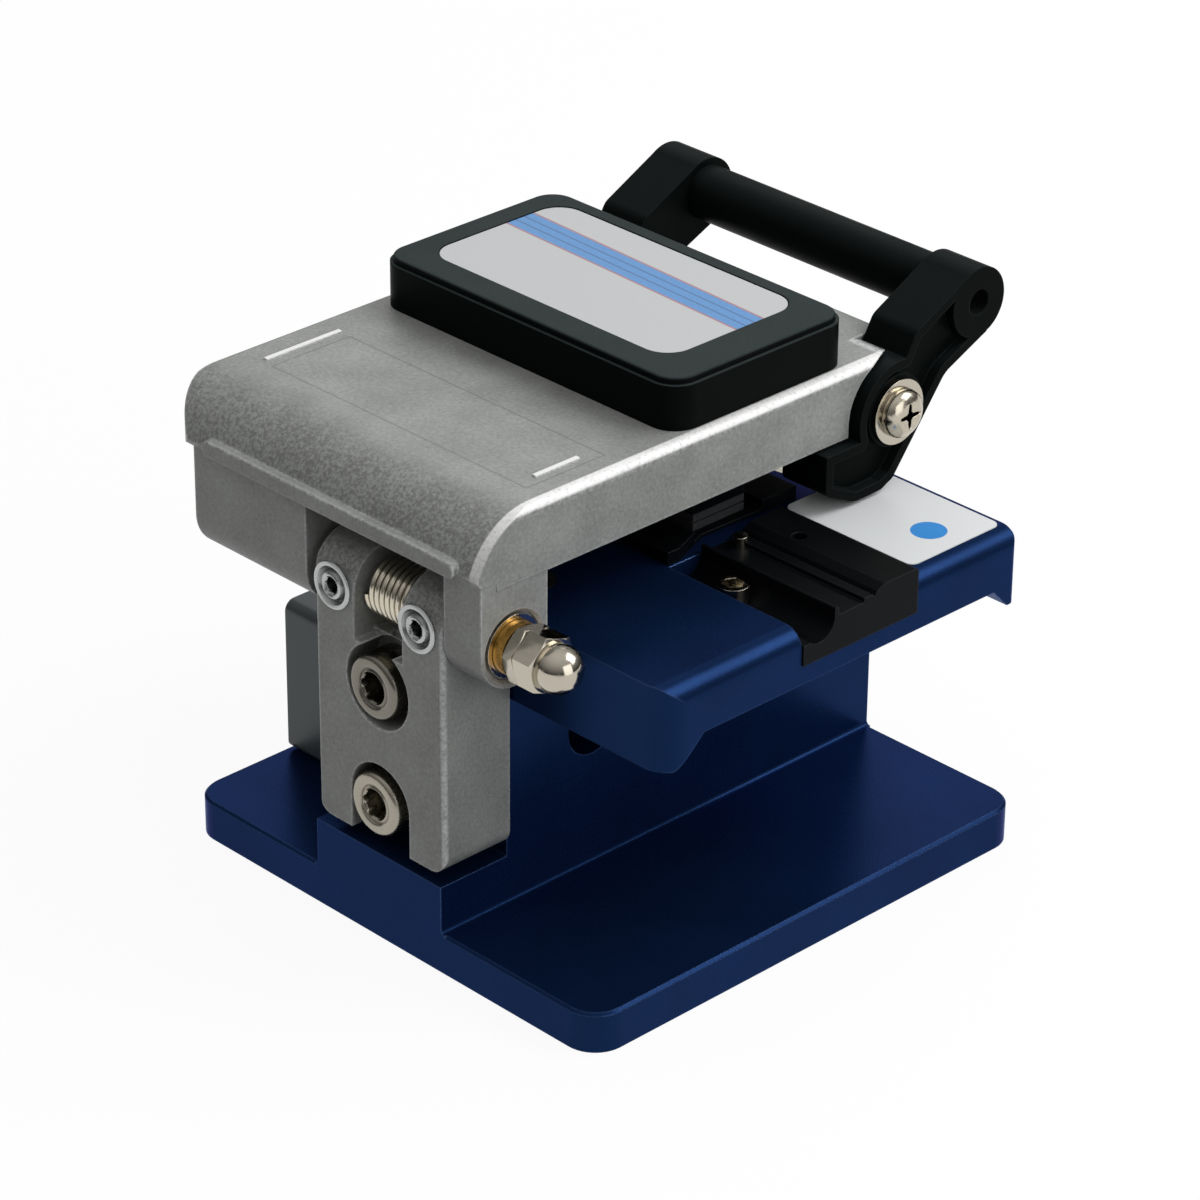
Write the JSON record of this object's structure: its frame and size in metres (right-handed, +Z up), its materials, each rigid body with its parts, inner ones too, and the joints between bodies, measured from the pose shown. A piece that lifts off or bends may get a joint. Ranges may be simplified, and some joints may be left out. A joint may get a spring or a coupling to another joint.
{
  "type": "fibre cleaver",
  "caption": "Bench cleaver for optical fibre: table on an upright base, hinged lid with a lifting bail, sprung clamps and a sliding round blade.",
  "frame": {"origin": "centre of the base plate's underside", "axes": "+Z up, -Y towards the bail at the front, +Y towards the hinge, +X to the user's right along the fibre"},
  "size_m": [0.0614, 0.0723, 0.0575],
  "materials": {
    "blue_anodised": "satin blue anodised",
    "silver_casting": "satin silver lacquer on a casting",
    "silver_machined": "fine bead blasted",
    "nickel_steel": "bright nickel plate",
    "bright_steel": "bright",
    "black_block": "matt black anodised",
    "black_plastic": "satin moulded",
    "brass_bush": "turned",
    "rubber_pad": "matt",
    "label_film": "satin film",
    "hard_blade": "ground"
  },
  "bodies": {
    "base": {"base_frame": "blue_anodised", "work_table": "blue_anodised", "table_screws": "bright_steel", "table_label": "label_film", "hinge_bracket": "silver_casting", "bracket_screws": "nickel_steel", "shaft_set_screws": "bright_steel", "hinge_shaft": "bright_steel", "jam_nut": "nickel_steel", "acorn_nut": "nickel_steel", "torsion_spring": "bright_steel", "adapter_block": "black_block", "block_screw": "bright_steel", "block_pin": "bright_steel", "lower_clamp_left": "black_block", "lower_clamp_right": "black_block", "lower_pad_left": "rubber_pad", "lower_pad_right": "rubber_pad", "linear_rail": "bright_steel", "rail_screws": "bright_steel", "rail_stops": "bright_steel"},
    "lid": {"lid": "silver_casting", "lid_bushes": "brass_bush", "hinge_washer": "nickel_steel", "lid_cap": "black_plastic", "cap_label": "label_film", "clamp_springs": "bright_steel", "anvil_holder": "black_block", "anvil": "hard_blade", "bail_washers": "nickel_steel", "bail_screws": "nickel_steel"},
    "upper_clamp": {"upper_clamp": "black_block", "upper_pads": "rubber_pad", "clamp_pins": "bright_steel", "clamp_clips": "bright_steel"},
    "bail": {"bail_arm_left": "black_plastic", "bail_arm_right": "black_plastic", "bail_bar": "black_plastic", "bail_rod": "bright_steel"},
    "carriage": {"slider": "silver_machined", "rail_carriage": "bright_steel", "blade_mount": "bright_steel", "mount_screws": "bright_steel", "blade_axle": "bright_steel"},
    "blade": {"blade_wheel": "hard_blade"}
  },
  "joints": [
    {"name": "lid_hinge", "type": "hinge", "parent": "base", "child": "lid", "pos_m": [0, 0.026, 0.0372], "axis": [-1, 0, 0], "range_deg": [0, 70], "deforming": ["torsion_spring"]},
    {"name": "clamp_travel", "type": "slide", "parent": "lid", "child": "upper_clamp", "axis": [0, 0, 1], "range_m": [0, 0.0008], "stiffness_N_per_m": 1500, "springref_m": -0.001, "deforming": ["clamp_springs"]},
    {"name": "bail_swing", "type": "hinge", "parent": "lid", "child": "bail", "pos_m": [0, -0.0257, 0.0452], "axis": [1, 0, 0], "range_deg": [-4, 2]},
    {"name": "carriage_slide", "type": "slide", "parent": "base", "child": "carriage", "axis": [0, -1, 0], "range_m": [0, 0.0205]},
    {"name": "blade_turn", "type": "hinge", "parent": "carriage", "child": "blade", "pos_m": [0, 0.003, 0.0305], "axis": [1, 0, 0], "continuous": true}
  ]
}
